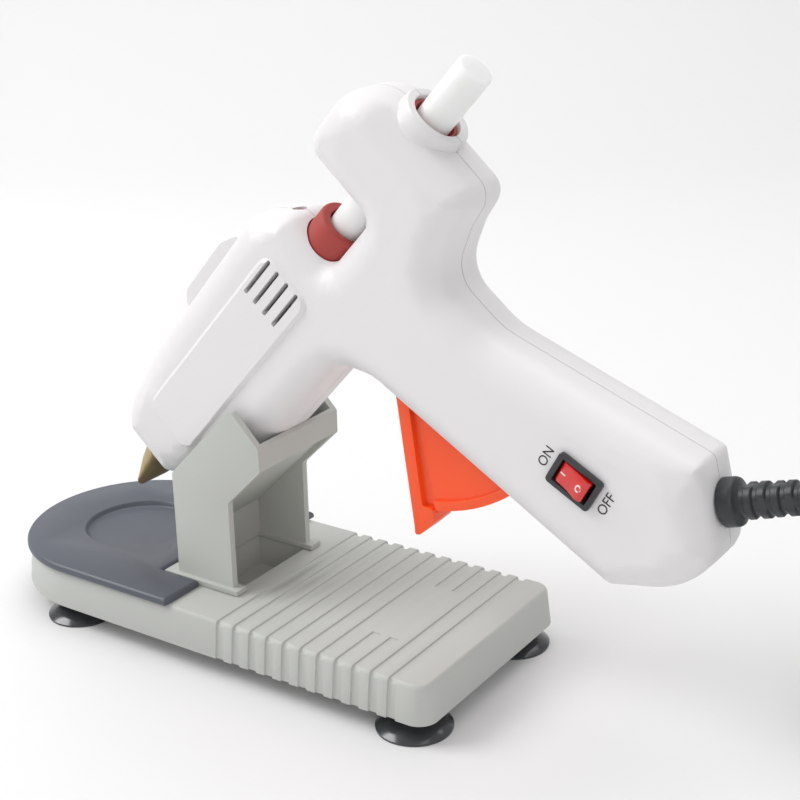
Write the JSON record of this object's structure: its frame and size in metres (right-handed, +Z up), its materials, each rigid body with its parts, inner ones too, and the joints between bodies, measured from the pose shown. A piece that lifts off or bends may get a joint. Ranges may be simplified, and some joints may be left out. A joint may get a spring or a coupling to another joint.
{
  "type": "hot glue gun with stand",
  "caption": "Trigger-fed hot-melt glue gun resting in the cradle post of a slabbed bench stand with a drip tray and suction feet, with its coiled mains cord.",
  "frame": {"origin": "centre of the object's footprint on the surface it stands on, without its cord", "axes": "+Z up, +X along the base towards the handle, -Y towards the side with the switch"},
  "size_m": [0.3686, 0.1397, 0.1942],
  "materials": {
    "base": "moulded plastic, fine satin",
    "post": "moulded plastic, fine satin",
    "tray": "moulded plastic, satin",
    "foot": "glossy soft vinyl",
    "housing": "moulded nylon, fine satin",
    "brass": "turned, dulled by heat",
    "aluminium": "die cast",
    "steel": "plated",
    "slate": "moulded",
    "sleeve": "silicone rubber, matt",
    "lamp": "tinted lens",
    "black": "moulded",
    "cable": "flexible PVC, satin",
    "glue": "translucent hot-melt glue",
    "trigger": "moulded plastic, semi-gloss",
    "rocker": "tinted clear plastic, glossy"
  },
  "bodies": {
    "stand": {"base_shell": "base", "base_plate": "base", "drip_tray": "tray", "cradle_post": "post", "suction_foot_1": "foot", "suction_foot_2": "foot", "suction_foot_3": "foot", "suction_foot_4": "foot", "post_screw_1": "steel", "post_screw_2": "steel"},
    "trigger": {"trigger": "trigger"},
    "feed": {"feed_carriage": "black", "grip_plate": "steel"},
    "stick": {"glue_stick": "glue"},
    "rocker": {"switch_rocker": "rocker"},
    "gun": {"housing_left": "housing", "housing_right": "housing", "nozzle": "brass", "melt_chamber": "aluminium", "heater_element": "aluminium", "heater_clip": "steel", "front_support": "slate", "inlet_sleeve": "sleeve", "sleeve_clamp": "steel", "indicator_lamp": "lamp", "rear_guide_bush": "sleeve", "trigger_pin": "steel", "trigger_spring": "steel", "switch_body": "black", "switch_terminal_1": "brass", "switch_terminal_2": "brass", "strain_relief": "cable", "cord_clamp": "slate", "heater_wire": "sleeve", "switch_wire": "black", "power_cord": "cable", "cord_coil": "cable", "cord_tail": "cable", "cord_tie": "black", "plug_body": "cable", "plug_pin_1": "brass", "plug_pin_2": "brass", "housing_screw_1": "steel", "housing_screw_2": "steel", "housing_screw_3": "steel", "housing_screw_4": "steel", "housing_screw_5": "steel", "housing_screw_6": "steel", "housing_screw_7": "steel"}
  },
  "joints": [
    {"name": "gun_lift", "type": "slide", "parent": "stand", "child": "gun", "axis": [0, 0, 1], "range_m": [0, 0.06]},
    {"name": "trigger_pivot", "type": "hinge", "parent": "gun", "child": "trigger", "pos_m": [0.02965, 0, 0.11419], "axis": [0, -1, 0], "range_deg": [0, 20], "stiffness_Nm_per_rad": 0.3, "springref_deg": -14.32},
    {"name": "feed_slide", "type": "slide", "parent": "gun", "child": "feed", "axis": [-0.673, 0, -0.7396], "range_m": [0, 0.0072]},
    {"name": "stick_feed", "type": "slide", "parent": "gun", "child": "stick", "axis": [-0.673, 0, -0.7396], "range_m": [0, 0.0072]},
    {"name": "rocker_tilt", "type": "hinge", "parent": "gun", "child": "rocker", "pos_m": [0.09065, -0.0147, 0.08464], "axis": [0.4802, 0, 0.8771], "range_deg": [0, 24]}
  ],
  "couplings": [
    {"joint": "feed_slide", "follows": "trigger_pivot", "m_per_rad": 0.0205},
    {"joint": "stick_feed", "follows": "trigger_pivot", "m_per_rad": 0.0205}
  ]
}
